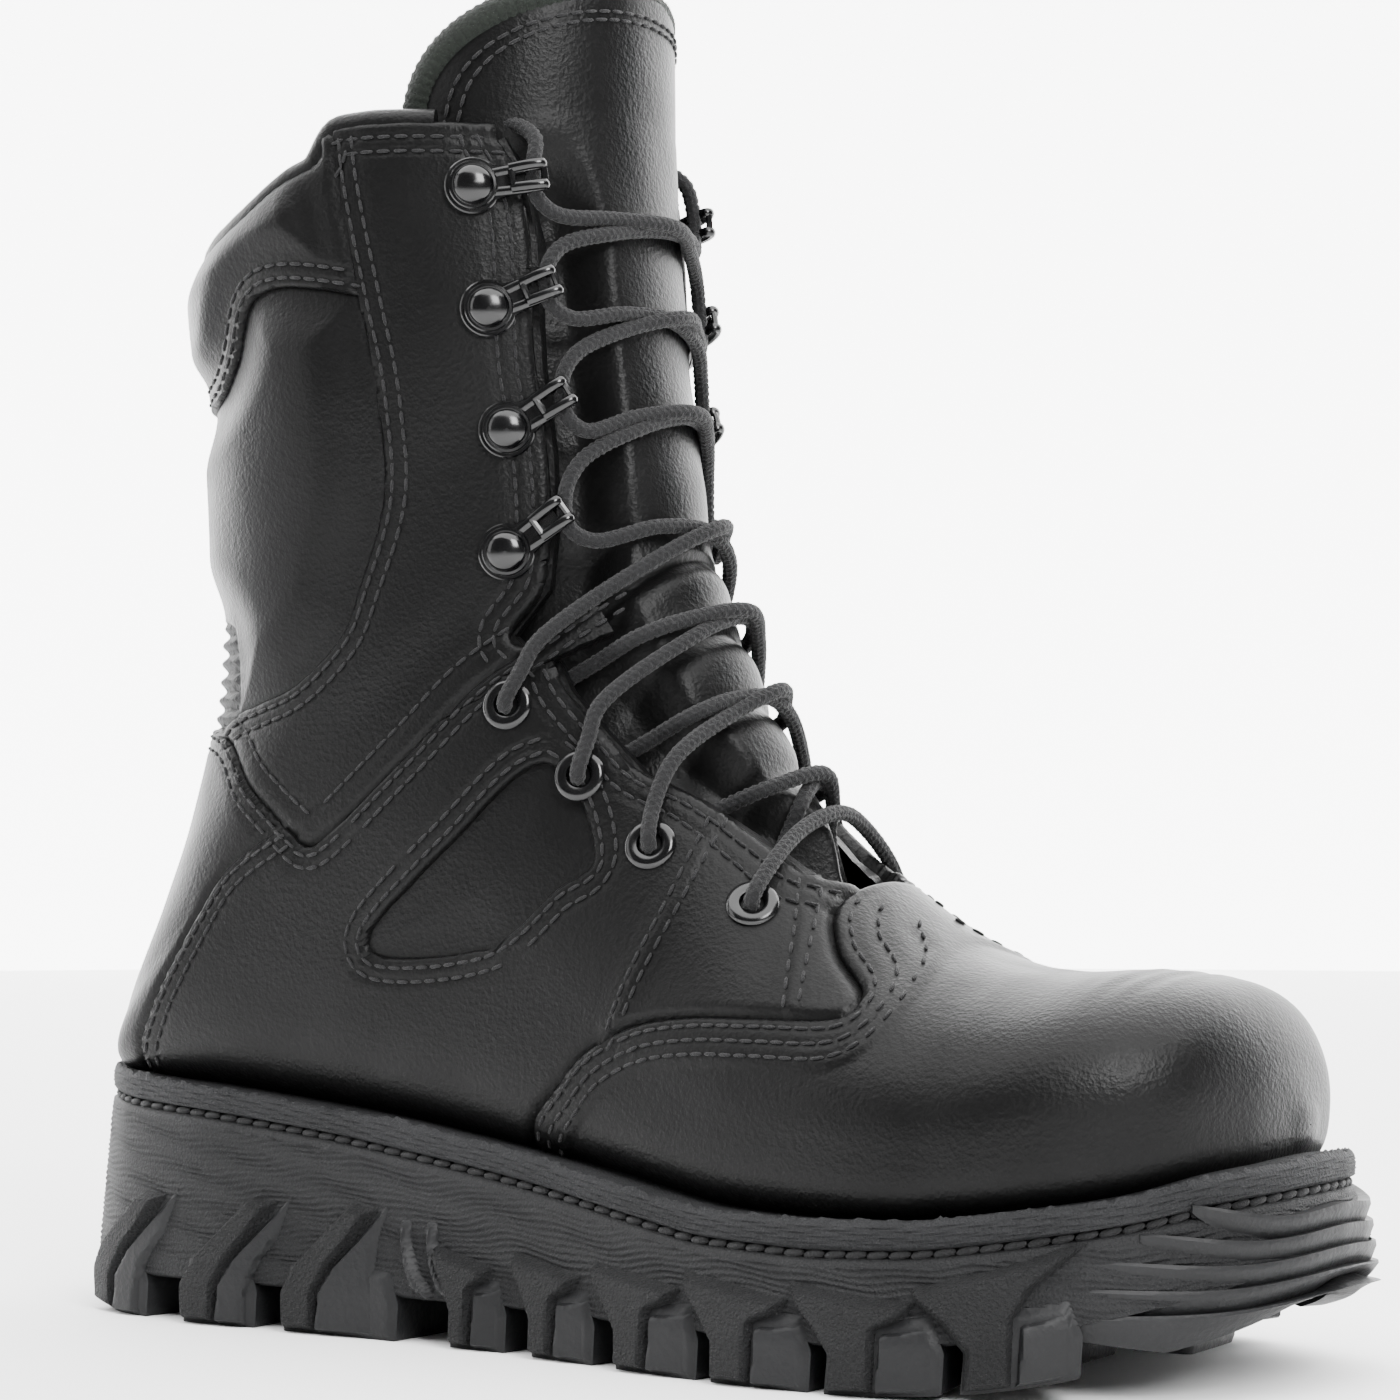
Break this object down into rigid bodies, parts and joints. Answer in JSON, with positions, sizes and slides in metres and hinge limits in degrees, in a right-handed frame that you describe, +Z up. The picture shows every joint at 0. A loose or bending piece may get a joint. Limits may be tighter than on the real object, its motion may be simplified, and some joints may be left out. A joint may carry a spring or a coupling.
{
  "type": "fire boot",
  "caption": "Lace-up leather fire boot for the right foot: welted lug sole, hard toe, padded collar and tongue, hooks above eyelets, closed by a crossed round lace.",
  "frame": {"origin": "on the floor under the middle of the boot's outline", "axes": "+X towards the toe, +Y towards the inner side of the foot, +Z up"},
  "size_m": [0.312, 0.1216, 0.3016],
  "materials": {
    "leather": "satin full-grain",
    "flex_rubber": "matt ribbed",
    "board": "fibre board",
    "steel": "plain",
    "lining": "woven",
    "binding": "fuzzy woven",
    "foam": "fabric-topped foam",
    "sole_rubber": "matt moulded",
    "thread": "twisted",
    "lace": "braided",
    "black_metal": "gloss black"
  },
  "bodies": {
    "boot": {"quarter_outer": "leather", "quarter_inner": "leather", "ankle_panel_outer": "leather", "ankle_panel_inner": "leather", "shaft_panel_outer": "leather", "shaft_panel_inner": "leather", "vamp": "leather", "calf_pad": "leather", "collar_pad": "leather", "heel_counter_cover": "leather", "lace_facing_outer": "leather", "lace_facing_inner": "leather", "achilles_flex_panel": "flex_rubber", "insole_board": "board", "heel_stiffener": "board", "safety_toe_cap": "steel", "shank": "steel", "lining": "lining", "tongue_gusset_outer": "lining", "tongue_gusset_inner": "lining", "welt": "sole_rubber", "midsole": "sole_rubber", "outsole": "sole_rubber", "puncture_plate": "board", "welt_stitching": "thread", "lace": "lace", "hook_outer_1": "black_metal", "rivet_cap_outer_1": "black_metal", "eyelet_outer_1": "black_metal", "hook_outer_2": "black_metal", "rivet_cap_outer_2": "black_metal", "eyelet_outer_2": "black_metal", "hook_outer_3": "black_metal", "rivet_cap_outer_3": "black_metal", "eyelet_outer_3": "black_metal", "hook_outer_4": "black_metal", "rivet_cap_outer_4": "black_metal", "eyelet_outer_4": "black_metal", "hook_inner_1": "black_metal", "rivet_cap_inner_1": "black_metal", "eyelet_inner_1": "black_metal", "hook_inner_2": "black_metal", "rivet_cap_inner_2": "black_metal", "eyelet_inner_2": "black_metal", "hook_inner_3": "black_metal", "rivet_cap_inner_3": "black_metal", "eyelet_inner_3": "black_metal", "hook_inner_4": "black_metal", "rivet_cap_inner_4": "black_metal", "eyelet_inner_4": "black_metal"},
    "tongue": {"tongue": "leather", "tongue_binding": "binding"},
    "footbed": {"footbed": "foam"}
  },
  "joints": [
    {"name": "tongue_tilt", "type": "hinge", "parent": "boot", "child": "tongue", "pos_m": [0.0628, 0.0028, 0.074], "axis": [0, -1, 0], "range_deg": [0, 8]},
    {"name": "footbed_lift", "type": "slide", "parent": "boot", "child": "footbed", "axis": [0, 0, 1], "range_m": [0, 0.005]}
  ]
}
